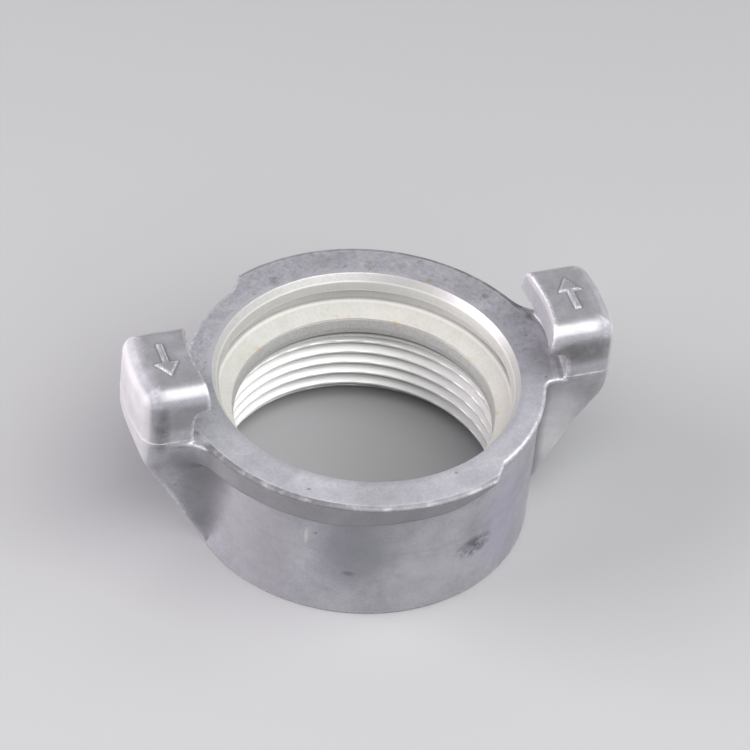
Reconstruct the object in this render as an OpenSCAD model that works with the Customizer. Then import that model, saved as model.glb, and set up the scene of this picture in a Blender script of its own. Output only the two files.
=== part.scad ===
// Claw coupling half with two hooked lugs, stepped flange and female pipe thread.
// Millimetres. +Z points out of the sealing face; the thread opens downward at z = 0.
// The lugs lie on the X axis.

/* [Body] */
// Height of the barrel from the threaded end to the sealing face
body_h = 26.6; // [20:0.1:40]
// Barrel radius at the threaded end
body_r_bottom = 28.1; // [26:0.1:34]
// Barrel radius at the sealing face
body_r_top = 28.6; // [26:0.1:34]
// Chamfer on the threaded end of the barrel
foot_chamfer = 0.5; // [0:0.1:1.5]

/* [Flange and ramps] */
// Outer radius of the flange sectors
flange_r = 31.35; // [29:0.05:36]
// Width of the low bevel round the top of the flange
flange_bevel = 1.0; // [0.2:0.1:1.5]
// Flange thickness next to a lug
flange_t = 4.4; // [3:0.1:7]
// Flange thickness where the lead-in starts
ramp_t = 2.8; // [2:0.1:5]
// Angle of the flange step from the lug axis
step_deg = 116; // [90:1:140]
// Arc of the steep lead-in at the step
lead_in_deg = 15; // [8:1:30]
// Flange thickness at the step
step_t = 0.8; // [0.4:0.1:2]
// Arc of the gentle ramp behind the lead-in
ramp_deg = 38; // [20:1:60]

/* [Lugs] */
// Outer radius of the lugs
lug_r = 40; // [36:0.5:50]
// Width of a lug
lug_w = 17; // [12:0.1:20]
// Width of the web below a lug, near the threaded end
web_w = 12; // [8:0.1:18]
// Height of the lugs above the sealing face
lug_rise = 10.5; // [8:0.1:16]
// Corner radius on the hook entry side
lug_round_entry = 2; // [0.5:0.1:4]
// Corner radius on the far side
lug_round_far = 2.5; // [0.5:0.1:5]
// Upright corner radius between the entry side and the outer wall
lug_corner_entry = 2.7; // [0.5:0.1:5]
// Upright corner radius between the far side and the outer wall
lug_corner_far = 1.8; // [0.5:0.1:5]
// Radius of the outer top edge
lug_round_out = 2.2; // [0.5:0.1:4]
// Drop of the outer lug wall below the sealing face before the web slopes in
web_drop = 4.2; // [0:0.1:8]
// Height of the web foot above the threaded end
web_foot = 1.6; // [0:0.1:8]
// Radius of the hook tip
hook_tip_r = 29.3; // [28.7:0.1:31]
// Draft of the tip face over its height
tip_draft = 0.4; // [0:0.05:1]
// Radius of the pocket wall behind the hook
pocket_r = 32.2; // [31.5:0.1:34]
// Height of the hook underside above the sealing face, at the tip on the lug's centre line
hook_low = 5.6; // [4:0.1:9]
// Rise of the hook underside toward the entry side, per mm across the lug
hook_rise = 0.025; // [0:0.005:0.2]
// Fall of the hook underside from the tip to the pocket wall, per mm
hook_fall = 0.19; // [0:0.01:0.6]

/* [Bore and seal seat] */
// Radius of the mouth at the sealing face
mouth_r = 25; // [22:0.1:27]
// Radius at the bottom of the mouth chamfer
lead_r = 24.25; // [22:0.05:27]
// Depth of the mouth chamfer
lead_d = 1.3; // [0.5:0.1:3]
// Radius of the lip that holds the seal ring
lip_r = 23.75; // [22:0.05:27]
// Depth of the lip edge
lip_d = 2.8; // [1:0.1:5]
// Radius of the undercut behind the lip
seat_r = 24.9; // [23:0.05:27]
// Depth of the seal ring seat
seat_d = 7.2; // [5:0.1:10]
// Bore radius through the inner shoulder
shoulder_r = 21.15; // [19:0.05:23]
// Depth of the shoulder underside
shoulder_d = 9.8; // [8:0.1:14]

/* [Pipe thread] */
// Minor radius of the female thread
thread_minor_r = 22.42; // [18:0.01:24]
// Major radius of the female thread
thread_major_r = 23.9; // [19:0.01:25]
// Thread pitch
thread_pitch = 2.309; // [1:0.001:3]
// Crest flat at the minor radius
thread_crest = 0.5; // [0.2:0.05:0.8]
// Mouth chamfer depth at the threaded end
thread_mouth = 2.3; // [0.5:0.1:4]

/* [Seals] */
// Height of the seal ring
seal_h = 2.0; // [1.5:0.1:4]
// Inner radius of the seal ring
seal_in_r = 21.6; // [20:0.05:23]
// Thickness of the pipe-end washer
washer_t = 1.6; // [1:0.1:3]
// Inner radius of the pipe-end washer
washer_in_r = 21.8; // [20:0.05:23]

/* [Hidden] */
$fn = 96;
top = body_h + lug_rise;
hw = lug_w / 2;
z_shoulder = body_h - shoulder_d;
z_seat = body_h - seat_d;
relief_h = 2.0;
z_thread_top = z_shoulder - relief_h;
washer_out_r = thread_major_r;

function arc(cx, cy, r, a0, a1, n = 8) =
  [for (i = [0:n]) [cx + r * cos(a0 + (a1 - a0) * i / n), cy + r * sin(a0 + (a1 - a0) * i / n)]];

// Web root seen from above, lug on +X, with fillets toward the barrel.
module web_plan(root_r, w, fil) {
  h = w / 2;
  xf = sqrt(pow(root_r + fil, 2) - pow(h + fil, 2));
  af = atan2(h + fil, xf);
  difference() {
    polygon([[18, 0], [18, -h - 4], [root_r * cos(af), -root_r * sin(af)], [xf, -h - fil], [xf, -h], [lug_r, -h],
      [lug_r, h], [xf, h], [xf, h + fil], [root_r * cos(af), root_r * sin(af)], [18, h + 4]]);
    for (s = [-1, 1]) translate([xf, s * (h + fil)]) circle(r = fil);
  }
}

// Lug seen from above: a round outer wall about the main axis, blended into both flanks.
module lug_plan() {
  ce = lug_corner_entry;
  cf = lug_corner_far;
  xe = sqrt(pow(lug_r - ce, 2) - pow(hw - ce, 2));
  xf = sqrt(pow(lug_r - cf, 2) - pow(hw - cf, 2));
  ae = atan2(hw - ce, xe);
  af = atan2(hw - cf, xf);
  intersection() {
    polygon(concat([[24, -hw]], arc(xf, -hw + cf, cf, -90, -af, 6),
      [[lug_r + 3, -(lug_r + 3) * tan(af)], [lug_r + 3, (lug_r + 3) * tan(ae)]],
      arc(xe, hw - ce, ce, ae, 90, 6), [[24, hw]]));
    circle(r = lug_r);
  }
}

// Side outline: x outward, y up.
module lug_side() {
  polygon(concat(
    [[18, 0.6], [body_r_bottom - 0.3, 0.6], [body_r_bottom + 0.1, web_foot], [lug_r - 1.1, body_h - web_drop - 1.6], [lug_r - 0.3, body_h - web_drop], [lug_r, body_h - web_drop + 1.6]],
    arc(lug_r - lug_round_out, top - lug_round_out, lug_round_out, 0, 90),
    [[18, top]]));
}

// End outline: x across the lug, y up; far side at -x, hook entry side at +x.
module lug_end() {
  polygon(concat(
    [[-hw, body_h - 0.02], [hw, body_h - 0.02]],
    arc(hw - lug_round_entry, top - lug_round_entry, lug_round_entry, 0, 90),
    arc(-hw + lug_round_far, top - lug_round_far, lug_round_far, 90, 180)));
}

// Everything of one lug above the sealing face, before the hook pocket is cut.
module lug_top() {
  intersection() {
    translate([0, 0, body_h - 0.01]) linear_extrude(height = lug_rise + 0.01)
      lug_plan();
    translate([0, 20, 0]) rotate([90, 0, 0]) linear_extrude(height = 40) lug_side();
    translate([0, 0, 0]) rotate([90, 0, 90]) linear_extrude(height = 60) lug_end();
  }
}

module lug_web() {
  intersection() {
    union() {
      linear_extrude(height = body_h - 3) web_plan(body_r_bottom, web_w, 3);
      rotate([90, 0, 90]) linear_extrude(height = 60)
        polygon([[-hw, body_h], [-hw, body_h - 0.4], [-hw + 0.9, body_h - 3.5], [-web_w / 2 - 0.3, body_h - 10], [-web_w / 2, body_h - 14],
          [-web_w / 2, 0], [web_w / 2, 0], [web_w / 2, body_h - 14], [web_w / 2 + 0.3, body_h - 10], [hw - 0.9, body_h - 3.5], [hw, body_h - 0.4], [hw, body_h]]);
    }
    translate([0, 20, 0]) rotate([90, 0, 0]) linear_extrude(height = 40) lug_side();
    linear_extrude(height = body_h) union() {
      lug_plan();
      translate([18, -20]) square([12, 40]);
    }
  }
}

// Space inside the hook: a round clearance within the tip, and the pocket for the
// flange of the other half, closed above by a sloping underside.
module hook_space() {
  rotate_extrude()
    polygon([[18, body_h], [hook_tip_r, body_h], [hook_tip_r, body_h + hook_low - 0.2], [hook_tip_r + tip_draft, top - 0.4],
      [hook_tip_r + tip_draft + 0.35, top], [hook_tip_r + tip_draft + 0.9, top + 1], [18, top + 1]]);
  // lead-in at the entry end of the tip
  translate([0, 0, body_h]) linear_extrude(height = lug_rise + 1)
    polygon([[18, hw - 4], [28.95, hw - 4], [28.84, hw - 2], [28.64, hw], [28.5, hw + 1.5], [18, hw + 1.5]]);
  intersection() {
    rotate_extrude()
      polygon([[18, body_h], [pocket_r, body_h], [pocket_r, body_h + 9], [18, body_h + 9]]);
    translate([hook_tip_r - 0.3, 0, body_h + hook_low])
      rotate([atan(hook_rise), atan(hook_fall), 0])
        translate([-15, -20, -30]) cube([40, 40, 30]);
  }
}

module flange_sector() {
  difference() {
    union() {
      rotate_extrude(angle = step_deg - 4, start = 4)
        polygon([[26, body_h - flange_t], [flange_r - 0.6, body_h - flange_t], [flange_r, body_h - flange_t + 0.5],
          [flange_r, body_h - 0.4], [flange_r - 0.3, body_h - 0.13], [flange_r - flange_bevel, body_h], [26, body_h]]);
      translate([0, 0, body_h - flange_t]) linear_extrude(height = flange_t) flange_root_fillet();
    }
    // gentle ramp, cut flat under the flange
    rotate([0, 0, step_deg - lead_in_deg])
      translate([0, 0, body_h - ramp_t])
        rotate([atan((flange_t - ramp_t) / (29.5 * sin(ramp_deg))), 0, 0])
          translate([20, -60, -20]) cube([20, 75, 20]);
    // steep lead-in next to the step
    rotate([0, 0, step_deg - lead_in_deg])
      translate([0, 0, body_h - ramp_t])
        rotate([atan((ramp_t - step_t) / (29.5 * sin(lead_in_deg))), 0, 0])
          translate([20, -2, -20]) cube([20, 30, 20]);
  }
  // slanted end of the flange at the step
  translate([0, 0, body_h]) mirror([0, 0, 1]) linear_extrude(height = step_t)
    polygon([for (p = [[25.5, step_deg - 3], [flange_r - 0.3, step_deg - 3], [flange_r - 0.2, step_deg - 0.4], [flange_r - 0.6, step_deg + 0.5], [body_r_top + 0.4, step_deg + 4.6], [body_r_top - 0.1, step_deg + 5.6], [25.5, step_deg + 5]]) [p[0] * cos(p[1]), p[0] * sin(p[1])]]);
}

// Rounded corner in plan where the flange runs into the hook entry side of a lug.
module flange_root_fillet() {
  f = 4;
  xf = sqrt(pow(flange_r + f, 2) - pow(hw + f, 2));
  af = atan2(hw + f, xf);
  difference() {
    polygon([[26, hw - 1], [xf, hw - 1], [xf, hw + f], [flange_r * cos(af), flange_r * sin(af)], [26, hw + 3]]);
    translate([xf, hw + f]) circle(r = f);
  }
}

// One groove of the female thread, as a section about the main axis.
module thread_groove() {
  g = (thread_pitch - thread_crest) / 2;
  polygon([[thread_minor_r - 1, -g - 0.5], [thread_minor_r, -g], [thread_major_r, -0.22],
    [thread_major_r, 0.22], [thread_minor_r, g], [thread_minor_r - 1, g + 0.5]]);
}

// Raised cast arrow that shows the closing direction.
module lug_mark() {
  translate([34.2, 0, top - 0.05]) linear_extrude(height = 0.4)
    union() {
      translate([-0.45, -3.6]) square([0.9, 4.6]);
      polygon([[-1.9, 0.8], [1.9, 0.8], [0, 3.8]]);
    }
}

module half_features() {
  flange_sector();
  lug_web();
  difference() {
    lug_top();
    hook_space();
  }
  lug_mark();
}

module coupling_body() {
  color("#b4b4bc")
  difference() {
    union() {
      rotate_extrude() polygon([[20, 0], [body_r_bottom - foot_chamfer, 0], [body_r_bottom, foot_chamfer],
        [body_r_top, body_h - 0.4], [body_r_top - 0.4, body_h], [20, body_h]]);
      half_features();
      rotate([0, 0, 180]) half_features();
    }
    // bore, seal seat and thread mouth in one turned cut
    rotate_extrude() polygon([
      [0, -1], [thread_major_r + thread_mouth + 1, -1], [thread_major_r + thread_mouth, 0],
      [thread_major_r, thread_mouth], [thread_minor_r, thread_mouth + 0.4],
      [thread_minor_r, z_thread_top - 0.8], [thread_major_r + 0.02, z_thread_top],
      [thread_major_r + 0.02, z_shoulder], [shoulder_r, z_shoulder], [shoulder_r, z_seat - 1.6],
      [seal_in_r - 0.15, z_seat], [seat_r, z_seat], [seat_r, body_h - lip_d - 0.6],
      [lip_r, body_h - lip_d], [lead_r, body_h - lead_d], [mouth_r, body_h],
      [mouth_r + 0.6, body_h + 1], [0, body_h + 1]]);
    for (i = [0:4]) translate([0, 0, thread_mouth + 0.79 + i * thread_pitch])
      rotate_extrude() thread_groove();
  }
}

// Seal ring held under the lip of the mouth.
module seal_ring() {
  color("#d8d2c2")
  rotate_extrude() polygon(concat(
    [[seal_in_r, z_seat], [seat_r - 0.02, z_seat], [seat_r - 0.02, z_seat + seal_h - 0.3], [seat_r - 0.3, z_seat + seal_h]],
    arc(23.7, z_seat + seal_h - 0.5, 0.5, 90, 137, 5),
    [[seal_in_r, z_seat + 0.35]]));
}

// Flat washer between the inner shoulder and the end of the pipe.
module pipe_end_washer() {
  color("#cfc9ba")
  translate([0, 0, z_shoulder - washer_t]) rotate_extrude()
    polygon([[washer_in_r, 0.15], [washer_in_r + 0.15, 0], [washer_out_r - 0.15, 0], [washer_out_r, 0.15],
      [washer_out_r, washer_t - 0.15], [washer_out_r - 0.15, washer_t], [washer_in_r + 0.15, washer_t], [washer_in_r, washer_t - 0.15]]);
}

coupling_body();
seal_ring();
pipe_end_washer();
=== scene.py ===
import bpy
import math
import numpy as np
from mathutils import Matrix, Vector


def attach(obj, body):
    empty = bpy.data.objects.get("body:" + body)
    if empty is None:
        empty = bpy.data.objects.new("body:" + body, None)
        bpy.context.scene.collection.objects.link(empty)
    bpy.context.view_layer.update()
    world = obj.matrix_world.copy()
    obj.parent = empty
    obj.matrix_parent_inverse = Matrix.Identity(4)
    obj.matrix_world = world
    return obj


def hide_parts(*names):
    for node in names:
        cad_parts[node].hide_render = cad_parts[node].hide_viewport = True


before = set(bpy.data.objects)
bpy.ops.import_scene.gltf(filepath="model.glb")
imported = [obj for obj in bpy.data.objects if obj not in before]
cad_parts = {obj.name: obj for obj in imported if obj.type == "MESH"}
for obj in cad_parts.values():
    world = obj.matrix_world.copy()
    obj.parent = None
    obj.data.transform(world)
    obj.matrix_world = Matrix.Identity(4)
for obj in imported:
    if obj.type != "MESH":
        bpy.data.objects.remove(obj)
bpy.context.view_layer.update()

MM = 0.001

# ---- sizes, in millimetres, the same as the CAD ----
BODY_H, LUG_RISE, LUG_R, HW, WEB_HW = 26.6, 10.5, 40.0, 8.5, 6.0
TOP = BODY_H + LUG_RISE
FLANGE_R, FLANGE_T, RAMP_T, STEP_T = 31.35, 4.4, 2.8, 0.8
TIP_R, POCKET_R, HOOK_LOW, HOOK_RISE, HOOK_FALL, TIP_DRAFT = 29.3, 32.2, 5.6, 0.025, 0.19, 0.4
STEP, LEAD_IN, RAMP = 116.0, 15.0, 38.0
R_BOT, R_TOP = 28.1, 28.6
MOUTH_R, LEAD_R, LEAD_D, LIP_R, LIP_D = 25.0, 24.25, 1.3, 23.75, 2.8
SEAT_R, SEAT_D, SHOULDER_R, SHOULDER_D = 24.9, 7.2, 21.15, 9.8
MINOR_R, MAJOR_R, PITCH = 22.42, 23.9, 2.309
SEAL_IN, SEAL_H, WASHER_T, WASHER_IN = 21.6, 2.0, 1.6, 21.8
Z_SEAT, Z_SHOULDER = BODY_H - SEAT_D, BODY_H - SHOULDER_D
Z_RELIEF = Z_SHOULDER - 2.0


# ---- distance-field helpers ----
def cut_round(a, b, r):
    """Intersection with a rounded convex edge."""
    u = np.maximum(a + r, 0)
    v = np.maximum(b + r, 0)
    return np.minimum(np.maximum(a, b), -r) + np.sqrt(u * u + v * v)


def join_round(a, b, r):
    """Union with a rounded concave edge."""
    u = np.maximum(r - a, 0)
    v = np.maximum(r - b, 0)
    return np.maximum(np.minimum(a, b), r) - np.sqrt(u * u + v * v)


def soft_max(a, b, k):
    h = np.maximum(k - np.abs(a - b), 0) / k
    return np.maximum(a, b) + h * h * k * 0.25


def step01(t):
    t = np.clip(t, 0, 1)
    return t * t * (3 - 2 * t)


def wave(x, y, z):
    """The slow unevenness of a cast skin."""
    w = np.sin(x * 0.61 + 1.3 * np.sin(y * 0.23 + 0.7)) * np.sin(y * 0.53 - 0.9 * np.sin(z * 0.31)) * np.sin(z * 0.57 + 0.8 + 0.4 * np.sin(x * 0.19))
    w += 0.55 * np.sin(x * 1.27 + y * 0.71 + 2.0) * np.sin(y * 1.09 - z * 0.83 + 0.6)
    return w


def casting(x, y, z, want_valley=False):
    r = np.hypot(x, y)
    flip = x < 0
    X = np.where(flip, -x, x)
    Y = np.where(flip, -y, y)
    az = np.degrees(np.arctan2(y, x)) % 180.0
    zr = z - BODY_H
    # barrel wall
    wall = R_BOT + (R_TOP - R_BOT) * np.clip(z, 0, BODY_H) / BODY_H
    d = r - wall
    # flange with its ramp and slanted step
    rf = np.interp(az, [0, STEP - 0.7, STEP + 0.3, STEP + 4.7, STEP + 5.5, 180], [FLANGE_R, FLANGE_R, FLANGE_R - 0.5, R_TOP + 0.3, R_TOP, R_TOP])
    tt = np.interp(az, [0, STEP - LEAD_IN - RAMP, STEP - LEAD_IN, STEP - 1.5, STEP + 5.5, 180], [FLANGE_T, FLANGE_T, RAMP_T, STEP_T + 0.25, STEP_T, STEP_T])
    slant = np.where((az > STEP - 0.2) & (az < STEP + 5), 0.75, 1.0)
    fl = cut_round((r - rf) * slant, -tt - zr, 0.45)
    soft = np.interp(az, [0, STEP - 22, STEP - 6, STEP + 4, 180], [0.8, 0.8, 2.0, 2.4, 2.4])
    d = join_round(d, fl, soft)
    # lug and web
    t = np.clip((zr + 15) / 15, 0, 1)
    hw = WEB_HW + (HW - WEB_HW) * t * t * (3 - t) / 2 - 0.12 * np.clip(zr / LUG_RISE, 0, 1)
    do = r - LUG_R + 0.15 * np.clip(zr / LUG_RISE, 0, 1) ** 2
    ds = np.abs(Y) - hw
    sl = (X - 39.5) * 0.8756 - (z - (BODY_H - 4.2)) * 0.4831
    outer = soft_max(do, sl, 1.1)
    rc = 0.85
    body = cut_round(outer, ds, rc + (np.where(Y > 0, 2.5, 1.8) - rc) * step01((zr + 7.5) / 6.0))
    body = cut_round(body, zr - LUG_RISE, 2.9)
    # the fillet grows with how far the web stands out of the barrel
    stand = 39.5 + (z - (BODY_H - 4.2)) * 0.5517 - wall
    top_r = np.where(Y > 0, 4.2, 1.3)
    web_r = top_r * np.tanh(np.maximum(1.05 * stand + 0.25, 0.12) / top_r)
    if want_valley:
        wide = web_r * 1.35 + 0.4
        u, v = np.clip(wide - d, 0, wide), np.clip(wide - body, 0, wide)
        return 2 * u * v / (wide * wide)
    d = join_round(d, body, web_r)
    # sealing face: turned flat, with the low cast bevel outside it
    drop = 0.10 * step01((r - 30.32) / 0.9) + 0.10 * step01((r - 31.25) / 0.35) * (np.abs(Y) < 12)
    edge = np.interp(az, [0, STEP + 4, STEP + 7, 180], [0.34, 0.34, 0.75, 0.75])
    d = cut_round(d, zr + drop, edge)
    d = cut_round(d, -z, 0.45)
    # raised cast arrow that shows the closing direction
    shaft = np.maximum(np.abs(X - 34.2) - 0.45, np.abs(Y + 1.3) - 2.3)
    head = np.maximum(np.abs(X - 34.2) * 0.845 + (Y - 3.8) * 0.535, 0.8 - Y)
    arrow = cut_round(np.minimum(shaft, head) - 0.06, zr - LUG_RISE - 0.33, 0.16)
    body = np.where(zr > LUG_RISE - 1, join_round(body, np.maximum(arrow, LUG_RISE - 0.8 - zr), 0.16), body)
    # the part of the lug above the sealing face, with the hook space taken out
    rt = TIP_R + TIP_DRAFT * np.clip((zr - HOOK_LOW + 0.2) / 4.5, 0, 1.1)
    tip = np.where(Y > 3.5, np.minimum(r - rt, X - (28.95 - 0.0775 * (Y - 4.5) + rt - TIP_R)), r - rt)
    roof = (zr - (HOOK_LOW + HOOK_RISE * Y - HOOK_FALL * (X - TIP_R + 0.3))) * 0.982
    pocket = cut_round(r - (POCKET_R + 0.2 - 0.045 * zr), roof, 0.5)
    space = np.minimum(tip, pocket)
    up = cut_round(body, -space, 0.42 + np.where(Y > 0, 0.5, 0.3) * step01((5.0 - zr) / 1.5))
    up = np.maximum(up, -1.2 - zr)
    up = np.where(r < 31.9, np.maximum(up, -0.5 - zr), up)
    # the pocket wall runs into the floor in a small cast fillet
    k = 0.62 * step01((33.4 - r) / 0.8) * step01((10.5 - np.abs(Y)) / 1.5) + 1e-6
    k = np.where((Y > HW - 0.6) & (r > 31.0), np.maximum(k, 0.5 * step01((36.0 - X) / 3.0)), k)
    d = np.where(zr > -0.9, join_round(d, up, k), np.minimum(d, up))
    # flash line where the two halves of the die met
    seam = (r > 31.9) & (np.abs(Y) > 5.0) | (X > 37.0)
    d = d - 0.085 * np.exp(-((zr - 0.45) / 0.19) ** 2) * seam
    keep = np.clip(1 - step01((zr + 0.9) / 0.5) * step01((30.9 - r) / 0.5) - step01((0.9 - z) / 0.5), 0, 1)
    return d - 0.032 * keep * wave(x, y, z)


def surface_nets(f, lo, hi, h):
    ax = [np.arange(lo[i], hi[i] + h, h) for i in range(3)]
    nx, ny, nz = (len(a) for a in ax)
    D = np.empty((nx, ny, nz), np.float32)
    Yg, Zg = np.meshgrid(ax[1], ax[2], indexing="ij")
    for i, xv in enumerate(ax[0]):
        D[i] = f(np.full_like(Yg, xv), Yg, Zg)
    S = D < 0
    cnt = np.zeros((nx - 1, ny - 1, nz - 1), np.uint8)
    for dx in (0, 1):
        for dy in (0, 1):
            for dz in (0, 1):
                cnt += S[dx:nx - 1 + dx, dy:ny - 1 + dy, dz:nz - 1 + dz]
    cell = (cnt > 0) & (cnt < 8)
    idx = np.full(cell.shape, -1, np.int64)
    ci = np.argwhere(cell)
    idx[cell] = np.arange(len(ci))
    pos = np.zeros((len(ci), 3))
    num = np.zeros(len(ci))
    corners = [(a, b, c) for a in (0, 1) for b in (0, 1) for c in (0, 1)]
    for a in corners:
        for k in range(3):
            if a[k] == 1:
                continue
            b = list(a)
            b[k] = 1
            da = D[ci[:, 0] + a[0], ci[:, 1] + a[1], ci[:, 2] + a[2]]
            db = D[ci[:, 0] + b[0], ci[:, 1] + b[1], ci[:, 2] + b[2]]
            m = (da < 0) != (db < 0)
            t = np.where(m, da / np.where(m, da - db, 1), 0)
            p = np.array(a, float) + np.outer(t, np.array(b, float) - np.array(a, float))
            pos += np.where(m[:, None], p, 0)
            num += m
    pos = (ci + pos / num[:, None]) * h + np.array(lo)
    quads = []
    for k in range(3):
        u, v = (k + 1) % 3, (k + 2) % 3
        s0 = [slice(None)] * 3
        s1 = [slice(None)] * 3
        s0[k] = slice(0, -1)
        s1[k] = slice(1, None)
        A, B = S[tuple(s0)], S[tuple(s1)]
        e = np.argwhere(A != B)
        e = e[(e[:, u] > 0) & (e[:, v] > 0) & (e[:, u] < D.shape[u] - 1) & (e[:, v] < D.shape[v] - 1)]
        up = A[tuple(e.T)]
        o = np.zeros(3, int)

        def at(du, dv):
            q = e.copy()
            q[:, u] -= du
            q[:, v] -= dv
            return idx[tuple(q.T)]

        q = np.stack([at(1, 1), at(0, 1), at(0, 0), at(1, 0)], 1)
        q[~up] = q[~up][:, ::-1]
        quads.append(q)
    quads = np.concatenate(quads)
    # pull the points onto the surface
    for _ in range(4):
        x, y, z = pos.T
        e = 0.02
        c = f(x, y, z)
        g = np.stack([f(x + e, y, z) - f(x - e, y, z), f(x, y + e, z) - f(x, y - e, z), f(x, y, z + e) - f(x, y, z - e)], 1) / (2 * e)
        n2 = np.maximum((g * g).sum(1), 0.25)
        step = np.clip(c / n2, -h * 0.6, h * 0.6)
        pos = pos - g * step[:, None]
    return pos, quads


def make_mesh(name, pts, faces, smooth=True):
    me = bpy.data.meshes.new(name)
    pts = np.asarray(pts, np.float32) * MM
    faces = np.asarray(faces)
    me.vertices.add(len(pts))
    me.vertices.foreach_set("co", pts.ravel())
    n, w = faces.shape
    me.loops.add(n * w)
    me.loops.foreach_set("vertex_index", faces.ravel().astype(np.int32))
    me.polygons.add(n)
    me.polygons.foreach_set("loop_start", np.arange(0, n * w, w, dtype=np.int32))
    me.polygons.foreach_set("loop_total", np.full(n, w, np.int32))
    if smooth:
        me.polygons.foreach_set("use_smooth", np.ones(n, bool))
    me.update(calc_edges=True)
    me.validate()
    ob = bpy.data.objects.new(name, me)
    bpy.context.scene.collection.objects.link(ob)
    return ob


def ring_mesh(name, rows, seg, twist=None, closed=False):
    """A turned surface: rows of (radius, z), or of functions of the angle. Rows run with the solid on their left."""
    th = np.linspace(0, 2 * math.pi, seg, endpoint=False)
    pts, cap = [], []
    for row in rows:
        r, z = row
        r = r(th) if callable(r) else np.full(seg, r)
        pts.append(np.stack([r * np.cos(th), r * np.sin(th), np.full(seg, z)], 1))
    pts = np.concatenate(pts)
    n = len(rows)
    i = np.arange(seg)
    j = (i + 1) % seg
    faces = []
    for k in range(n if closed else n - 1):
        a, b = k * seg, ((k + 1) % n) * seg
        faces.append(np.stack([a + i, a + j, b + j, b + i], 1))
    return pts, np.concatenate(faces)


def fillet_profile(pts, radii, n=5):
    """Rounds the corners of an open profile."""
    out = [pts[0]]
    for i in range(1, len(pts) - 1):
        r = radii[i]
        p, q, s = (np.array(pts[k], float) for k in (i - 1, i, i + 1))
        if r <= 0:
            out.append(tuple(q))
            continue
        a, b = (p - q), (s - q)
        la, lb = np.linalg.norm(a), np.linalg.norm(b)
        a, b = a / la, b / lb
        ang = math.acos(float(np.clip(a @ b, -1, 1)))
        t = min(r / math.tan(ang / 2), la * 0.45, lb * 0.45)
        for k in range(n + 1):
            w = k / n
            out.append(tuple((1 - w) ** 2 * (q + a * t) + 2 * w * (1 - w) * q + w ** 2 * (q + b * t)))
    out.append(pts[-1])
    return out


# ---- the casting, solid at first ----
H = 0.27
P, Q = surface_nets(casting, (-41.0, -33.0, -0.9), (41.0, 33.0, 38.2), H)
body = make_mesh("coupling_casting", P, Q)

# ---- the turned bore and the helical thread, as a cutter ----
TH0 = math.radians(69.2)


def thread_r(z):
    def f(th):
        ph = ((z - 13.485) / PITCH - (th - TH0) / (2 * math.pi)) % 1.0
        tri = 1 - np.abs(2 * ph - 1)
        tri = (tri - 0.145) / 0.70
        g = np.clip(tri, 0, 1)
        g = g + 0.035 * np.sin(2 * math.pi * g) * 0
        r = MINOR_R + (MAJOR_R - MINOR_R) * g
        lead = MINOR_R + (MAJOR_R + 0.02 - MINOR_R) * np.clip((z - (Z_RELIEF - 0.8)) / 0.8, 0, 1)
        mouth = MAJOR_R + (2.3 - z) if z < 2.3 + (MAJOR_R - MINOR_R) else 0
        return np.maximum(np.maximum(r, lead), mouth)
    return f


prof = [(27.2, 29.0), (MOUTH_R + 0.12, BODY_H + 0.05), (MOUTH_R - 0.03, BODY_H - 0.12), (LEAD_R, BODY_H - LEAD_D), (LIP_R, BODY_H - LIP_D),
        (SEAT_R, BODY_H - LIP_D - 0.6), (SEAT_R, Z_SEAT), (SEAL_IN - 0.13, Z_SEAT), (SHOULDER_R, Z_SEAT - 1.6),
        (SHOULDER_R, Z_SHOULDER), (MAJOR_R + 0.02, Z_SHOULDER), (MAJOR_R + 0.02, Z_RELIEF + 0.05)]
rad = [0, 0.0, 0.16, 0.16, 0.16, 0.15, 0.1, 0.15, 0.15, 0.12, 0.1, 0]
rows = fillet_profile(prof, rad, 4)
rows = [(float(a), float(b)) for a, b in rows]
zs = np.linspace(Z_RELIEF, 0.85, 190)
rows += [(thread_r(float(z)), float(z)) for z in zs]
rows += [(MAJOR_R + 2.3 + 0.02, -0.02), (MAJOR_R + 3.4, -1.1)]
SEG = 480
cp, cf = ring_mesh("bore", rows, SEG)
top_c, bot_c = len(cp), len(cp) + 1
cp = np.concatenate([cp, [[0, 0, 29.0], [0, 0, -1.1]]])
i = np.arange(SEG)
j = (i + 1) % SEG
last = (len(rows) - 1) * SEG
cap_t = np.stack([np.full(SEG, top_c), j, i], 1)
cap_b = np.stack([np.full(SEG, bot_c), last + i, last + j], 1)
tris = np.concatenate([cf[:, [0, 1, 2]], cf[:, [0, 2, 3]]])
tris = np.concatenate([tris, cap_t, cap_b])[:, ::-1]
cutter = make_mesh("bore_cutter", cp, tris)


def volume(ob):
    me = ob.data
    me.calc_loop_triangles()
    v = np.empty(len(me.vertices) * 3, np.float32)
    me.vertices.foreach_get("co", v)
    v = v.reshape(-1, 3).astype(float)
    t = np.empty(len(me.loop_triangles) * 3, np.int32)
    me.loop_triangles.foreach_get("vertices", t)
    t = t.reshape(-1, 3)
    return float(np.einsum("ij,ij->i", v[t[:, 0]], np.cross(v[t[:, 1]], v[t[:, 2]])).sum() / 6)


for ob in (body, cutter):
    if volume(ob) < 0:
        ob.data.flip_normals()

mod = body.modifiers.new("bore", "BOOLEAN")
mod.operation = "DIFFERENCE"
mod.solver = "MANIFOLD"
mod.object = cutter
bpy.context.view_layer.update()
dg = bpy.context.evaluated_depsgraph_get()
cut = bpy.data.meshes.new_from_object(body.evaluated_get(dg))
body.modifiers.clear()
old = body.data
body.data = cut
bpy.data.meshes.remove(old)
bpy.data.objects.remove(cutter, do_unlink=True)
print("casting faces", len(body.data.polygons), "volume mm3", round(volume(body) * 1e9, 1))


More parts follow.
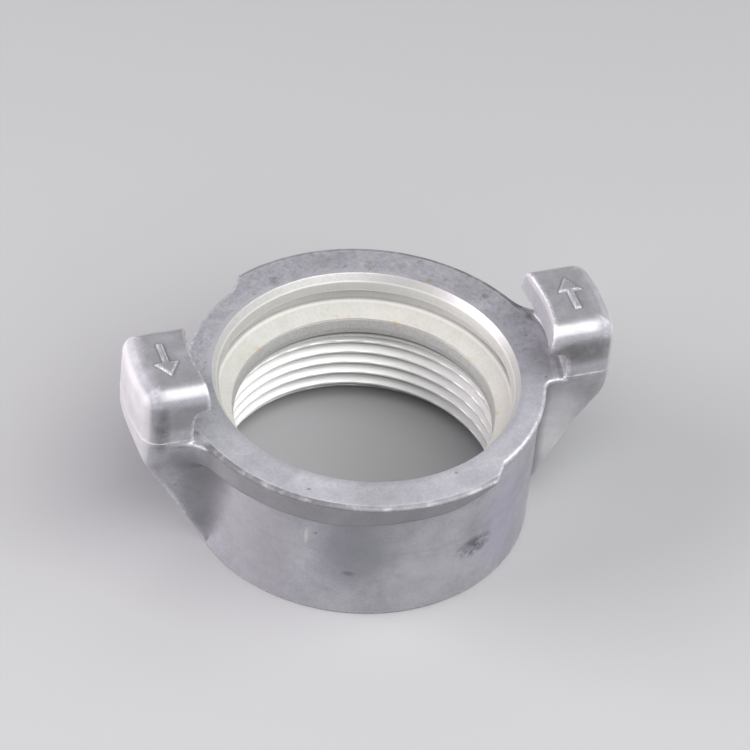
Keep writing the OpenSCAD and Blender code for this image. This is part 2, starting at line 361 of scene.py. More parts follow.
# ---- materials ----
def nodes_of(name):
    m = bpy.data.materials.new(name)
    m.use_nodes = True
    nt = m.node_tree
    nt.nodes.clear()
    out = nt.nodes.new("ShaderNodeOutputMaterial")
    sh = nt.nodes.new("ShaderNodeBsdfPrincipled")
    nt.links.new(sh.outputs[0], out.inputs[0])
    tc = nt.nodes.new("ShaderNodeTexCoord")
    return m, nt, sh, tc


def noise(nt, vec, scale, detail=3.0, rough=0.55, dist=0.0):
    n = nt.nodes.new("ShaderNodeTexNoise")
    n.inputs["Scale"].default_value = scale
    n.inputs["Detail"].default_value = detail
    n.inputs["Roughness"].default_value = rough
    n.inputs["Distortion"].default_value = dist
    nt.links.new(vec, n.inputs["Vector"])
    return n.outputs["Fac"]


def ramp(nt, fac, stops, interp="LINEAR"):
    n = nt.nodes.new("ShaderNodeValToRGB")
    n.color_ramp.interpolation = interp
    el = n.color_ramp.elements
    while len(el) > 1:
        el.remove(el[-1])
    el[0].position = stops[0][0]
    el[0].color = stops[0][1]
    for p, c in stops[1:]:
        e = el.new(p)
        e.color = c
    nt.links.new(fac, n.inputs[0])
    return n.outputs[0]


def g(v, a=1.0):
    return (v, v, v, a)


def mix(nt, fac, a, b, mode="MIX"):
    n = nt.nodes.new("ShaderNodeMix")
    n.data_type = "RGBA"
    n.blend_type = mode
    if isinstance(fac, (int, float)):
        n.inputs[0].default_value = fac
    else:
        nt.links.new(fac, n.inputs[0])
    for s, v in ((6, a), (7, b)):
        if isinstance(v, tuple):
            n.inputs[s].default_value = v
        else:
            nt.links.new(v, n.inputs[s])
    return n.outputs[2]


def math_node(nt, op, a, b=None, c=None):
    n = nt.nodes.new("ShaderNodeMath")
    n.operation = op
    for k, v in enumerate((a, b, c)):
        if v is None:
            continue
        if isinstance(v, (int, float)):
            n.inputs[k].default_value = v
        else:
            nt.links.new(v, n.inputs[k])
    return n.outputs[0]


def bump(nt, height, strength, dist, normal=None):
    n = nt.nodes.new("ShaderNodeBump")
    n.inputs["Strength"].default_value = strength
    n.inputs["Distance"].default_value = dist
    nt.links.new(height, n.inputs["Height"])
    if normal is not None:
        nt.links.new(normal, n.inputs["Normal"])
    return n.outputs[0]


def coords(nt, o):
    """Object coordinates in millimetres: x, y, z and the radius from the main axis."""
    sep = nt.nodes.new("ShaderNodeSeparateXYZ")
    nt.links.new(o, sep.inputs[0])
    x, y, z = (math_node(nt, "MULTIPLY", sep.outputs[k], 1000.0) for k in range(3))
    r = math_node(nt, "SQRT", math_node(nt, "ADD", math_node(nt, "MULTIPLY", x, x), math_node(nt, "MULTIPLY", y, y)))
    return x, y, z, r


def band(nt, v, centre, half, soft):
    """1 within half of the centre, falling to 0 over soft."""
    n = nt.nodes.new("ShaderNodeMapRange")
    n.interpolation_type = "SMOOTHSTEP"
    nt.links.new(math_node(nt, "ABSOLUTE", math_node(nt, "SUBTRACT", v, centre)), n.inputs["Value"])
    n.inputs["From Min"].default_value = half
    n.inputs["From Max"].default_value = half + soft
    n.inputs["To Min"].default_value = 1.0
    n.inputs["To Max"].default_value = 0.0
    return n.outputs["Result"]


def rise(nt, v, lo, hi):
    n = nt.nodes.new("ShaderNodeMapRange")
    n.interpolation_type = "SMOOTHSTEP"
    nt.links.new(v, n.inputs["Value"])
    n.inputs["From Min"].default_value = lo
    n.inputs["From Max"].default_value = hi
    return n.outputs["Result"]


def near(nt, o, point, scale):
    """Distance from a point in millimetres, divided by the scale on each axis."""
    m = nt.nodes.new("ShaderNodeVectorMath")
    m.operation = "SUBTRACT"
    nt.links.new(o, m.inputs[0])
    m.inputs[1].default_value = tuple(c * MM for c in point)
    k = nt.nodes.new("ShaderNodeVectorMath")
    k.operation = "MULTIPLY"
    nt.links.new(m.outputs[0], k.inputs[0])
    k.inputs[1].default_value = tuple(1000.0 / c for c in scale)
    le = nt.nodes.new("ShaderNodeVectorMath")
    le.operation = "LENGTH"
    nt.links.new(k.outputs[0], le.inputs[0])
    return le.outputs["Value"]


def pits(nt, o, scale, size, chance):
    """Small round pits, 1 inside a pit."""
    v = nt.nodes.new("ShaderNodeTexVoronoi")
    v.feature = "F1"
    v.inputs["Scale"].default_value = scale
    nt.links.new(o, v.inputs["Vector"])
    sep = nt.nodes.new("ShaderNodeSeparateColor")
    nt.links.new(v.outputs["Color"], sep.inputs[0])
    pick = math_node(nt, "GREATER_THAN", sep.outputs[0], 1.0 - chance)
    inside = nt.nodes.new("ShaderNodeMapRange")
    inside.interpolation_type = "SMOOTHSTEP"
    nt.links.new(v.outputs["Distance"], inside.inputs["Value"])
    inside.inputs["From Min"].default_value = size
    inside.inputs["From Max"].default_value = size * 0.35
    return math_node(nt, "MULTIPLY", inside.outputs["Result"], pick)


def attribute(nt, name):
    n = nt.nodes.new("ShaderNodeAttribute")
    n.attribute_name = name
    return n.outputs["Fac"]


def cast_material():
    m, nt, sh, tc = nodes_of("cast_aluminium")
    o = tc.outputs["Object"]
    x, y, z, r = coords(nt, o)
    cloud = noise(nt, o, 95, 5, 0.6, 0.8)
    mid = noise(nt, o, 380, 5, 0.62, 0.3)
    grain = noise(nt, o, 2300, 3, 0.6)
    convex, hollow, valley = attribute(nt, "convex"), attribute(nt, "hollow"), attribute(nt, "valley")
    base = ramp(nt, cloud, [(0.30, (0.325, 0.323, 0.350, 1)), (0.48, (0.385, 0.382, 0.418, 1)), (0.70, (0.460, 0.455, 0.488, 1))])
    col = mix(nt, 1.0, base, ramp(nt, mid, [(0.28, g(0.92)), (0.5, g(1.0)), (0.76, g(1.06))]), "MULTIPLY")
    col = mix(nt, 1.0, col, ramp(nt, grain, [(0.30, g(0.90)), (0.55, g(1.0)), (0.75, g(1.07))]), "MULTIPLY")
    # the top face is finer-grained and painted lighter towards the front, more open-grained and darker towards the
    # back (grain with painted light and shade), with dark pits in its outer part
    face = math_node(nt, "MULTIPLY", band(nt, z, BODY_H, 0.25, 0.1), rise(nt, r, 25.3, 26.5))
    back = rise(nt, y, -22.0, 16.0)
    grainy = noise(nt, o, 900, 4, 0.7, 0.5)
    fine_grain_lit_face = ramp(nt, grainy, [(0.30, g(1.06)), (0.5, g(1.16)), (0.8, g(1.24))])
    open_grain_shaded_face = ramp(nt, grainy, [(0.30, g(0.66)), (0.46, g(0.88)), (0.62, g(0.98)), (0.8, g(1.10))])
    col = mix(nt, face, col, mix(nt, 1.0, col, mix(nt, back, fine_grain_lit_face, open_grain_shaded_face), "MULTIPLY"))
    # slow patches on the barrel and the right web: painted shade and painted light where its reflections fall darker
    # or lighter
    for point, size, tone, k in (((-9.6, -26.6, 14.2), (9.0, 5.0, 9.5), (0.19, 0.195, 0.22, 1), 0.92), ((-21.5, -18.5, 11.0), (6.0, 8.0, 13.0), (0.27, 0.268, 0.295, 1), 0.55), ((3.0, -28.2, 10.5), (9.0, 5.0, 9.0), (0.44, 0.44, 0.47, 1), 0.30),
                                 ((17.5, -22.4, 12.0), (8.5, 8.5, 13.0), (0.40, 0.385, 0.50, 1), 0.60), ((-26.0, -12.0, 12.0), (8.0, 7.0, 12.0), (0.47, 0.46, 0.49, 1), 0.40),
                                 ((31.2, -7.0, 14.0), (5.5, 5.0, 13.0), (0.74, 0.73, 0.735, 1), 0.85)):
        spot = ramp(nt, near(nt, o, point, size), [(0.0, g(1.0)), (0.5, g(0.75)), (1.0, g(0.0))])
        spot = math_node(nt, "MULTIPLY", spot, ramp(nt, cloud, [(0.30, g(0.55)), (0.65, g(1.0))]))
        col = mix(nt, math_node(nt, "MULTIPLY", spot, k), col, tone)
    # painted shadow on the barrel under the flange
    under = math_node(nt, "MULTIPLY", band(nt, z, 21.9, 0.35, 1.1), band(nt, x, -6.0, 10.0, 9.0))
    under = math_node(nt, "MULTIPLY", under, math_node(nt, "SUBTRACT", 1.0, rise(nt, r, 29.4, 29.9)))
    col = mix(nt, math_node(nt, "MULTIPLY", under, 0.45), col, (0.15, 0.15, 0.175, 1))
    # painted highlight: light dashes along a thin ring near the flange's outer edge
    ring = math_node(nt, "MULTIPLY", band(nt, z, BODY_H - 0.12, 0.2, 0.1), band(nt, r, 30.85, 0.40, 0.2))
    dash = ramp(nt, noise(nt, o, 800, 3, 0.6), [(0.40, g(0.15)), (0.62, g(1.0))])
    col = mix(nt, math_node(nt, "MULTIPLY", math_node(nt, "MULTIPLY", ring, dash), 0.22), col, (0.80, 0.80, 0.78, 1))
    # painted shade: the flange's outer edge is darkened, broken up by noise, except beside the lugs
    rim = math_node(nt, "MULTIPLY", band(nt, z, BODY_H - 0.28, 0.30, 0.12), band(nt, r, 31.15, 0.48, 0.2))
    rim = math_node(nt, "MULTIPLY", rim, rise(nt, math_node(nt, "ABSOLUTE", y), 8.6, 10.4))
    shade_breakup = ramp(nt, noise(nt, o, 420, 3, 0.6), [(0.50, g(1.0)), (0.66, g(0.50))])
    rim = math_node(nt, "MULTIPLY", rim, shade_breakup)
    rim = math_node(nt, "MULTIPLY", rim, math_node(nt, "SUBTRACT", 1.0, math_node(nt, "MULTIPLY", band(nt, x, 1.0, 9.0, 8.0), 0.35)))
    col = mix(nt, math_node(nt, "MULTIPLY", rim, 0.85), col, (0.15, 0.15, 0.16, 1))
    # painted shade: the flange's side wall is darkened, away from the lugs
    edge_wall = math_node(nt, "MULTIPLY", rise(nt, r, 30.7, 31.1), band(nt, z, 23.9, 2.0, 0.3))
    edge_wall = math_node(nt, "MULTIPLY", edge_wall, math_node(nt, "SUBTRACT", 1.0, rise(nt, r, 31.45, 33.2)))
    edge_wall = math_node(nt, "MULTIPLY", edge_wall, rise(nt, math_node(nt, "ABSOLUTE", y), 8.9, 11.5))
    col = mix(nt, math_node(nt, "MULTIPLY", edge_wall, 0.62), col, (0.17, 0.17, 0.175, 1))
    # small dark and brown stains on the sealing face; the two beside the lug pockets are painted shade in the pockets'
    # corners
    for point, size, tone, k in (((24.9, 13.8, BODY_H), (0.9, 0.8, 1.0), (0.13, 0.13, 0.14, 1), 0.85), ((17.1, 19.6, BODY_H), (0.8, 0.7, 1.0), (0.30, 0.25, 0.17, 1), 0.8),
                                 ((8.3, 25.7, BODY_H), (0.8, 2.0, 1.0), (0.26, 0.24, 0.17, 1), 0.85), ((-8.0, 25.4, BODY_H), (0.9, 1.6, 1.0), (0.15, 0.15, 0.16, 1), 0.7),
                                 ((30.4, 7.2, BODY_H), (0.9, 1.1, 1.0), (0.16, 0.16, 0.17, 1), 0.55), ((-30.6, -6.9, BODY_H), (0.7, 0.9, 1.0), (0.16, 0.16, 0.17, 1), 0.75)):
        spot = math_node(nt, "MULTIPLY", ramp(nt, near(nt, o, point, size), [(0.0, g(1.0)), (0.5, g(0.8)), (1.0, g(0.0))]),
                         ramp(nt, noise(nt, o, 1500, 3, 0.65, 0.5), [(0.42, g(0.0)), (0.56, g(1.0))]))
        col = mix(nt, math_node(nt, "MULTIPLY", spot, k), col, tone)
    lug_top = rise(nt, z, BODY_H + LUG_RISE - 0.40, BODY_H + LUG_RISE - 0.05)
    # painted highlight: a lighter band along the lugs' rounded top edge
    painted_highlight_edge = math_node(nt, "MULTIPLY", band(nt, z, BODY_H + LUG_RISE - 0.85, 0.35, 0.45), rise(nt, r, 28.5, 29.0))
    painted_highlight_edge = math_node(nt, "MULTIPLY", painted_highlight_edge, math_node(nt, "SUBTRACT", 1.0, rise(nt, r, 37.0, 38.2)))
    col = mix(nt, math_node(nt, "MULTIPLY", painted_highlight_edge, 0.45), col, (0.66, 0.66, 0.67, 1))
    # partly tarnish and partly painted shade: the lug tops and a band on their upper flanks are darkened in patches
    tarnish_and_painted_shade = math_node(nt, "MULTIPLY", math_node(nt, "MAXIMUM", lug_top, math_node(nt, "MULTIPLY", band(nt, z, BODY_H + 5.2, 1.6, 1.6), rise(nt, r, 30.5, 31.0))),
                        ramp(nt, noise(nt, o, 260, 4, 0.6, 0.6), [(0.34, g(0.40)), (0.62, g(1.0))]))
    col = mix(nt, math_node(nt, "MULTIPLY", tarnish_and_painted_shade, 0.72), col, (0.225, 0.225, 0.230, 1))
    p_face = math_node(nt, "MULTIPLY", pits(nt, o, 420, 0.20, 0.10), face)
    p_all = pits(nt, o, 330, 0.10, 0.10)
    p = math_node(nt, "MAXIMUM", p_face, p_all)
    col = mix(nt, math_node(nt, "MULTIPLY", p, 0.62), col, (0.17, 0.165, 0.18, 1))
    # dark smudge and a faint flow line on the barrel
    d = near(nt, o, (11.2, -26.0, 10.2), (4.4, 3.6, 2.4))
    sm = math_node(nt, "MULTIPLY", ramp(nt, d, [(0.0, g(1.0)), (0.55, g(0.8)), (1.0, g(0.0))]),
                   ramp(nt, noise(nt, o, 520, 4, 0.6, 1.0), [(0.36, g(0.0)), (0.54, g(1.0))]))
    col = mix(nt, math_node(nt, "MULTIPLY", sm, 0.95), col, (0.10, 0.10, 0.125, 1))
    wavy = math_node(nt, "ADD", z, math_node(nt, "MULTIPLY", noise(nt, o, 110, 2, 0.5), 3.0))
    side = math_node(nt, "MULTIPLY", math_node(nt, "LESS_THAN", r, 29.5), math_node(nt, "LESS_THAN", y, -15.0))
    line = math_node(nt, "MULTIPLY", band(nt, wavy, 14.9, 0.05, 0.5), side)
    col = mix(nt, math_node(nt, "MULTIPLY", line, 0.16), col, (0.25, 0.25, 0.28, 1))
    # a drip mark and a small dark fault
    drip = ramp(nt, near(nt, o, (-16.6, -22.9, 16.0), (0.34, 0.9, 2.4)), [(0.0, g(1.0)), (0.6, g(0.6)), (1.0, g(0.0))])
    col = mix(nt, math_node(nt, "MULTIPLY", drip, 0.60), col, (0.62, 0.62, 0.57, 1))
    fault = math_node(nt, "MULTIPLY", ramp(nt, near(nt, o, (-10.1, -26.4, 9.2), (1.5, 1.5, 0.7)), [(0.0, g(1.0)), (0.5, g(0.7)), (1.0, g(0.0))]), ramp(nt, mid, [(0.38, g(0.3)), (0.55, g(1.0))]))
    col = mix(nt, math_node(nt, "MULTIPLY", fault, 0.75), col, (0.12, 0.12, 0.15, 1))
    # worn edges; hollows and valleys darkened, partly dirt and partly painted shade
    breakup = ramp(nt, noise(nt, o, 1300, 3, 0.6), [(0.38, g(0.25)), (0.62, g(1.0))])
    wear = math_node(nt, "MULTIPLY", convex, breakup)
    col = mix(nt, math_node(nt, "MULTIPLY", wear, 0.55), col, (0.86, 0.86, 0.90, 1))
    col = mix(nt, math_node(nt, "MULTIPLY", hollow, 0.62), col, (0.17, 0.17, 0.19, 1))
    col = mix(nt, math_node(nt, "MULTIPLY", valley, 0.50), col, (0.16, 0.163, 0.17, 1))
    # the lugs' outer walls are painted light, in patches; the dark patches on the lug flanks and webs, such as the
    # band beside the front corner and those under the right lug's hook, are painted shade
    outer = math_node(nt, "MULTIPLY", rise(nt, r, 39.0, 39.6), rise(nt, z, 17.0, 24.0))
    light_patches = ramp(nt, noise(nt, o, 300, 4, 0.6, 0.4), [(0.30, g(0.70)), (0.62, g(1.0))])
    col = mix(nt, math_node(nt, "MULTIPLY", math_node(nt, "MULTIPLY", outer, light_patches), 0.75), col, (0.61, 0.60, 0.615, 1))
    for point, size, tone, k in (((-36.7, -8.6, 29.6), (1.6, 2.0, 6.2), (0.12, 0.12, 0.13, 1), 0.85), ((-38.0, -8.0, 19.5), (3.0, 4.0, 4.0), (0.22, 0.225, 0.225, 1), 0.45),
                                 ((28.7, -8.4, 31.7), (2.6, 2.4, 2.1), (0.05, 0.05, 0.05, 1), 0.90), ((31.8, -8.6, 32.3), (2.6, 1.8, 1.9), (0.07, 0.07, 0.07, 1), 0.75), ((34.3, -8.6, 31.9), (6.5, 1.8, 3.2), (0.13, 0.13, 0.135, 1), 0.72),
                                 ((35.5, -8.3, 22.5), (4.0, 3.0, 3.0), (0.30, 0.29, 0.27, 1), 0.45)):
        spot = ramp(nt, near(nt, o, point, size), [(0.0, g(1.0)), (0.5, g(0.72)), (1.0, g(0.0))])
        spot = math_node(nt, "MULTIPLY", spot, ramp(nt, noise(nt, o, 480, 4, 0.65, 0.8), [(0.34, g(0.45)), (0.60, g(1.0))]))
        col = mix(nt, math_node(nt, "MULTIPLY", spot, k), col, tone)
    # flash line of the die, with a painted highlight along it
    flash = math_node(nt, "MULTIPLY", band(nt, z, BODY_H + 0.45, 0.07, 0.10), rise(nt, r, 31.6, 32.4))
    flash = math_node(nt, "MULTIPLY", flash, ramp(nt, noise(nt, o, 600, 2, 0.5), [(0.38, g(0.15)), (0.58, g(1.0))]))
    col = mix(nt, math_node(nt, "MULTIPLY", flash, 0.7), col, (0.88, 0.82, 0.66, 1))
    nt.links.new(col, sh.inputs["Base Color"])
    sh.inputs["Metallic"].default_value = 0.62
    rough = math_node(nt, "SUBTRACT", 0.60, math_node(nt, "MULTIPLY", mid, 0.20))
    rough = math_node(nt, "SUBTRACT", rough, math_node(nt, "MULTIPLY", wear, 0.12))
    rough = math_node(nt, "ADD", rough, math_node(nt, "MULTIPLY", rim, 0.44))
    rough = math_node(nt, "ADD", rough, math_node(nt, "MULTIPLY", math_node(nt, "MULTIPLY", rise(nt, r, 36.2, 37.8), rise(nt, z, 29.0, 33.0)), 0.24))
    rough = math_node(nt, "ADD", rough, math_node(nt, "MULTIPLY", rise(nt, z, 30.0, 34.0), 0.09))
    nt.links.new(rough, sh.inputs["Roughness"])
    n = bump(nt, mid, 0.30, 0.00016)
    n = bump(nt, grain, 0.45, 0.00005, n)
    n = bump(nt, math_node(nt, "SUBTRACT", 1.0, p), 0.6, 0.00012, n)
    nt.links.new(n, sh.inputs["Normal"])
    return m


def turned_material():
    m, nt, sh, tc = nodes_of("turned_aluminium")
    o = tc.outputs["Object"]
    x, y, z, r = coords(nt, o)
    mid = noise(nt, o, 160, 4, 0.6)
    fine = noise(nt, o, 2200, 3, 0.6)
    col = ramp(nt, mid, [(0.25, (0.46, 0.457, 0.445, 1)), (0.55, (0.50, 0.497, 0.488, 1)), (0.8, (0.535, 0.535, 0.53, 1))])
    col = mix(nt, 1.0, col, ramp(nt, fine, [(0.28, g(0.86)), (0.5, g(1.0)), (0.75, g(1.05))]), "MULTIPLY")
    # painted highlights along the edges of the mouth and the lip
    for zc, k in ((BODY_H - LEAD_D, 0.45), (BODY_H - LIP_D, 0.85)):
        col = mix(nt, math_node(nt, "MULTIPLY", band(nt, z, zc, 0.10, 0.12), k), col, (0.84, 0.84, 0.83, 1))
    # the straight part of the mouth is cut brighter
    col = mix(nt, math_node(nt, "MULTIPLY", band(nt, z, BODY_H - 2.05, 0.70, 0.10), 0.40), col, (0.50, 0.495, 0.47, 1))
    # painted light in the groove behind the lip
    col = mix(nt, math_node(nt, "MULTIPLY", band(nt, z, BODY_H - 4.2, 1.2, 0.2), 0.60), col, (0.66, 0.66, 0.65, 1))
    # painted shade: the cone is darkened towards +x
    cone = math_node(nt, "MULTIPLY", band(nt, z, BODY_H - 0.6, 0.62, 0.08), rise(nt, x, -6.0, 20.0))
    col = mix(nt, math_node(nt, "MULTIPLY", cone, 0.60), col, (0.36, 0.357, 0.36, 1))
    # painted light: the thread is made much lighter
    bright = math_node(nt, "MULTIPLY", math_node(nt, "LESS_THAN", z, 15.2), 0.90)
    col = mix(nt, bright, col, (0.83, 0.83, 0.825, 1))
    # the lowest turns towards the back are darker
    low = math_node(nt, "MULTIPLY", math_node(nt, "SUBTRACT", 1.0, rise(nt, z, 2.0, 7.5)), rise(nt, x, -14.0, 2.0))
    col = mix(nt, math_node(nt, "MULTIPLY", low, 0.50), col, (0.34, 0.34, 0.35, 1))
    # the shoulder is left greyer
    grey = math_node(nt, "MULTIPLY", band(nt, z, 18.1, 1.35, 0.25), math_node(nt, "LESS_THAN", r, 21.8))
    gritty = ramp(nt, fine, [(0.34, g(1.0)), (0.62, g(0.35))])
    col = mix(nt, math_node(nt, "MULTIPLY", math_node(nt, "MULTIPLY", grey, gritty), 0.62), col, (0.38, 0.38, 0.38, 1))
    # painted shade in the thread roots
    root = math_node(nt, "MULTIPLY", rise(nt, r, 23.45, 23.8), math_node(nt, "LESS_THAN", z, 15.2))
    col = mix(nt, math_node(nt, "MULTIPLY", root, 0.70), col, (0.26, 0.26, 0.26, 1))
    # brown specks round the lower edge of the seat
    sp = math_node(nt, "MULTIPLY", band(nt, z, 19.3, 0.35, 0.3), ramp(nt, noise(nt, o, 520, 3, 0.6), [(0.60, g(0.0)), (0.68, g(1.0))]))
    col = mix(nt, math_node(nt, "MULTIPLY", sp, 0.6), col, (0.42, 0.30, 0.15, 1))
    nt.links.new(col, sh.inputs["Base Color"])
    sh.inputs["Metallic"].default_value = 0.35
    nt.links.new(ramp(nt, mid, [(0.3, g(0.46)), (0.7, g(0.36))]), sh.inputs["Roughness"])
    s = math_node(nt, "SINE", math_node(nt, "MULTIPLY", math_node(nt, "ADD", z, r), 42.0))
    n = bump(nt, s, 0.12, 0.00002)
    n = bump(nt, fine, 0.3, 0.00004, n)
    nt.links.new(n, sh.inputs["Normal"])
    return m


def rubber_material(name, lo, hi, rough, specks=0.0):
    m, nt, sh, tc = nodes_of(name)
    o = tc.outputs["Object"]
    x, y, z, r = coords(nt, o)
    mid = noise(nt, o, 240, 4, 0.6)
    fine = noise(nt, o, 1900, 3, 0.6)
    col = mix(nt, 1.0, ramp(nt, mid, [(0.3, lo), (0.7, hi)]), ramp(nt, fine, [(0.30, g(0.93)), (0.5, g(1.0)), (0.75, g(1.05))]), "MULTIPLY")
    # painted shade on the seal's top beneath the lip
    shaded_seal_top = math_node(nt, "MULTIPLY", rise(nt, z, Z_SEAT + SEAL_H - 0.3, Z_SEAT + SEAL_H - 0.1), rise(nt, r, 24.25, 24.45))
    col = mix(nt, math_node(nt, "MULTIPLY", shaded_seal_top, 0.40), col, (0.30, 0.30, 0.295, 1))
    # painted highlight along the seal's top inner edge
    rim = math_node(nt, "MULTIPLY", band(nt, z, Z_SEAT + SEAL_H - 0.08, 0.14, 0.10), band(nt, r, 24.1, 0.12, 0.35))
    col = mix(nt, math_node(nt, "MULTIPLY", rim, 0.4), col, (0.66, 0.66, 0.65, 1))
    # painted shadow: a dark band just below the shoulder, on the washer's top
    under = math_node(nt, "MULTIPLY", rise(nt, z, Z_SHOULDER - 1.15, Z_SHOULDER - 0.75), math_node(nt, "LESS_THAN", z, Z_SHOULDER + 0.1))
    col = mix(nt, math_node(nt, "MULTIPLY", under, 0.80), col, (0.13, 0.13, 0.13, 1))
    if specks:
        sp = math_node(nt, "MULTIPLY", band(nt, z, 19.6, 0.25, 0.35), ramp(nt, noise(nt, o, 520, 3, 0.6), [(0.58, g(0.0)), (0.66, g(1.0))]))
        col = mix(nt, math_node(nt, "MULTIPLY", sp, specks), col, (0.42, 0.30, 0.15, 1))
    nt.links.new(col, sh.inputs["Base Color"])
    nt.links.new(ramp(nt, fine, [(0.3, g(rough + 0.06)), (0.7, g(rough - 0.05))]), sh.inputs["Roughness"])
    nt.links.new(bump(nt, fine, 0.3, 0.00005), sh.inputs["Normal"])
    return m


cast, turned = cast_material(), turned_material()
me = body.data
me.materials.clear()
me.materials.append(cast)
me.materials.append(turned)
npoly = len(me.polygons)
cen = np.empty(npoly * 3, np.float32)
me.polygons.foreach_get("center", cen)
cen = cen.reshape(-1, 3) * 1000
nor = np.empty(npoly * 3, np.float32)
me.polygons.foreach_get("normal", nor)
nor = nor.reshape(-1, 3)
rc = np.hypot(cen[:, 0], cen[:, 1])
inward = (nor[:, 0] * cen[:, 0] + nor[:, 1] * cen[:, 1]) < -0.2 * rc
inner = (rc < 25.16) & ((cen[:, 2] < BODY_H - 0.02) | inward) & (cen[:, 2] > 0.02)
inner |= (rc < 26.4) & (cen[:, 2] < 2.5) & inward
me.polygons.foreach_set("material_index", inner.astype(np.int32))
me.polygons.foreach_set("use_smooth", np.ones(npoly, bool))
me.set_sharp_from_angle(angle=math.radians(32))


def curvature(mesh):
    """How convex or hollow the casting is at each vertex, for wear, and for darkened hollows that are partly dirt and
    partly painted shade.
    """
    co = np.empty(len(mesh.vertices) * 3, np.float32)
    mesh.vertices.foreach_get("co", co)
    x, y, z = co.reshape(-1, 3).astype(float).T * 1000
    h = 0.38
    c = casting(x, y, z)
    lap = sum(casting(x + a * h, y + b * h, z + k * h) for a, b, k in ((1, 0, 0), (-1, 0, 0), (0, 1, 0), (0, -1, 0), (0, 0, 1), (0, 0, -1)))
    lap = (lap - 6 * c) / (h * h)
    r = np.hypot(x, y)
    bore = r < 25.4
    lap[bore] = 0
    under = (z < BODY_H - 0.7) & (r > 29.0) & (r < 31.8)
    seam = np.where((r > 31.4) & (np.abs(z - BODY_H) < 0.9), 0.15, 1.0)
    az = np.degrees(np.arctan2(y, x)) % 180.0
    lip = (r > 30.4) & (r < 31.9) & (np.abs(z - BODY_H + 0.4) < 0.8) & (np.abs(y) > 8.0)
    worn = np.where(lip, np.where(np.abs(az - STEP) < 3.0, 0.6, 0.10), 1.0)
    for name, v in (("convex", worn * np.where(under, 0, np.clip((lap - 0.35) / 1.3, 0, 1))), ("hollow", seam * np.clip((-lap - 0.3) / 1.2, 0, 1)),
                    ("valley", np.where(bore, 0, casting(x, y, z, True)) * step01((BODY_H - 0.8 - z) / 3.0) * step01((z - 1.0) / 6.0))):
        at = mesh.attributes.new(name, "FLOAT", "POINT")
        at.data.foreach_set("value", v.astype(np.float32))


curvature(me)
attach(body, "root")
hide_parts("coupling_body")

# ---- seal ring ----
seal_prof = [(SEAT_R - 0.02, Z_SEAT), (SEAT_R - 0.02, Z_SEAT + SEAL_H), (24.2, Z_SEAT + SEAL_H), (SEAL_IN - 0.11, Z_SEAT + 0.22), (SEAL_IN - 0.11, Z_SEAT)]
loop = [(23.0, Z_SEAT)] + seal_prof + [(22.4, Z_SEAT)]
loop = fillet_profile(loop, [0, 0.12, 0.12, 0.26, 0.20, 0.03, 0], 6)
sp, sf = ring_mesh("seal", [(float(a), float(b)) for a, b in loop], 360, closed=True)
seal = make_mesh("seal_ring_soft", sp, sf)
if volume(seal) < 0:
    seal.data.flip_normals()
seal.data.materials.append(rubber_material("pale_rubber", (0.415, 0.407, 0.378, 1), (0.462, 0.455, 0.429, 1), 0.52, 0.6))
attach(seal, "root")
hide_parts("seal_ring")

# ---- washer: the CAD node is right as it is ----
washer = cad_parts["pipe_end_washer"]
wm = rubber_material("washer_material", (0.52, 0.51, 0.49, 1), (0.58, 0.57, 0.55, 1), 0.5)
washer.data.materials.clear()
washer.data.materials.append(wm)

# ---- floor ----
fp = np.array([[-900, -900, -0.03], [900, -900, -0.03], [900, 900, -0.03], [-900, 900, -0.03]], float)
floor = make_mesh("floor", fp, np.array([[0, 1, 2, 3]]), smooth=False)
fm, fnt, fsh, ftc = nodes_of("floor_pale")
fsh.inputs["Base Color"].default_value = (0.35, 0.35, 0.36, 1)
fsh.inputs["Roughness"].default_value = 0.75
floor.data.materials.append(fm)

# ---- light ----
world = bpy.data.worlds.new("studio")
bpy.context.scene.world = world
world.use_nodes = True
bg = world.node_tree.nodes["Background"]
bg.inputs[0].default_value = (0.80, 0.82, 0.86, 1)
bg.inputs[1].default_value = 0.12

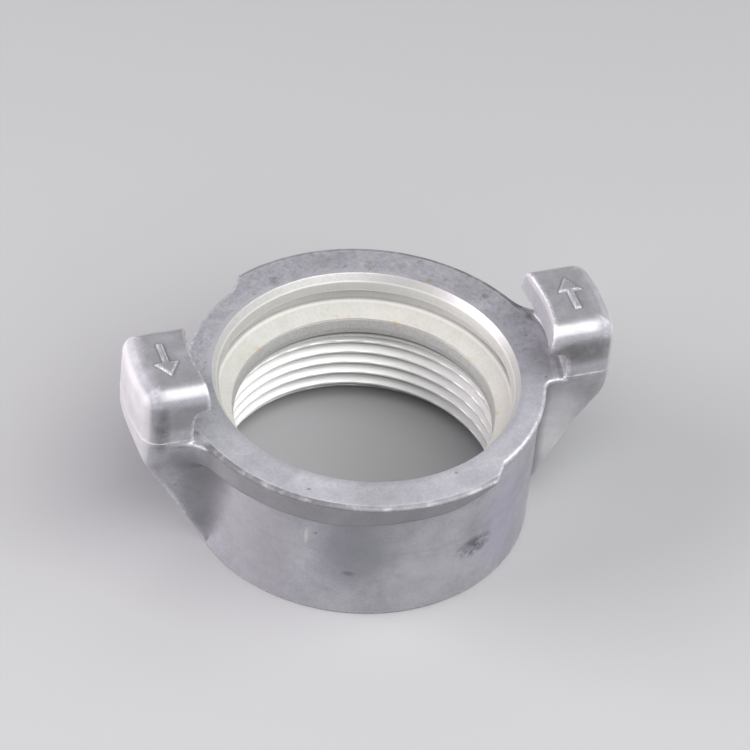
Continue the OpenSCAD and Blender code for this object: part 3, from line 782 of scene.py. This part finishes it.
AX = math.radians(20.8)
ELEV, ROLL = math.radians(42.31), math.radians(4.974)


def turn(v):
    c, s = math.cos(-AX), math.sin(-AX)
    return Vector((c * v[0] - s * v[1], s * v[0] + c * v[1], v[2]))


def area(name, pos, target, size, power, color=(1, 1, 1), size_y=None):
    l = bpy.data.lights.new(name, "AREA")
    l.shape = "RECTANGLE"
    l.size = size
    l.size_y = size_y or size
    l.energy = power
    l.color = color
    ob = bpy.data.objects.new(name, l)
    bpy.context.scene.collection.objects.link(ob)
    p, t = turn(pos), turn(target)
    ob.location = p
    ob.rotation_euler = (t - p).to_track_quat("-Z", "Y").to_euler()
    return ob


mid = (0, 0, 0.02)
area("key", (0.24, -0.26, 0.50), mid, 0.72, 6.4, (1, 1, 0.99))
area("left", (-0.58, -0.10, 0.24), mid, 0.50, 6.7, (1.0, 0.945, 0.97))
area("right", (0.55, 0.12, 0.40), mid, 0.45, 1.6, (1.0, 1.0, 1.0))
area("back", (-0.06, 0.45, 0.44), mid, 0.36, 0.35, (0.95, 0.96, 1.0))

# ---- camera at the photograph's viewing angle ----
d = Vector((0, math.cos(ELEV), -math.sin(ELEV)))
r_ = Vector((1, 0, 0))
u_ = Vector((0, math.sin(ELEV), math.cos(ELEV)))
D, TX, TY, R1 = 32.35, -0.0552, -0.0037, 0.025
C = (-TX * r_ - TY * u_ - D * d) * R1
c, s = math.cos(ROLL), math.sin(ROLL)
right = c * r_ + s * u_
up = -s * r_ + c * u_
C, right, up, fwd = turn(C), turn(right), turn(up), turn(d)
C = C + Vector((0, 0, BODY_H * MM))
cam_data = bpy.data.cameras.new("cam")
cam_data.sensor_width = 36
cam_data.lens = 5000.0 * 36 / 750
cam_data.clip_start = 0.01
cam_data.clip_end = 20
cam = bpy.data.objects.new("cam", cam_data)
bpy.context.scene.collection.objects.link(cam)
M = Matrix((right, up, -fwd)).transposed().to_4x4()
M.translation = C
cam.matrix_world = M
bpy.context.scene.camera = cam
bpy.context.scene.view_settings.view_transform = "Standard"
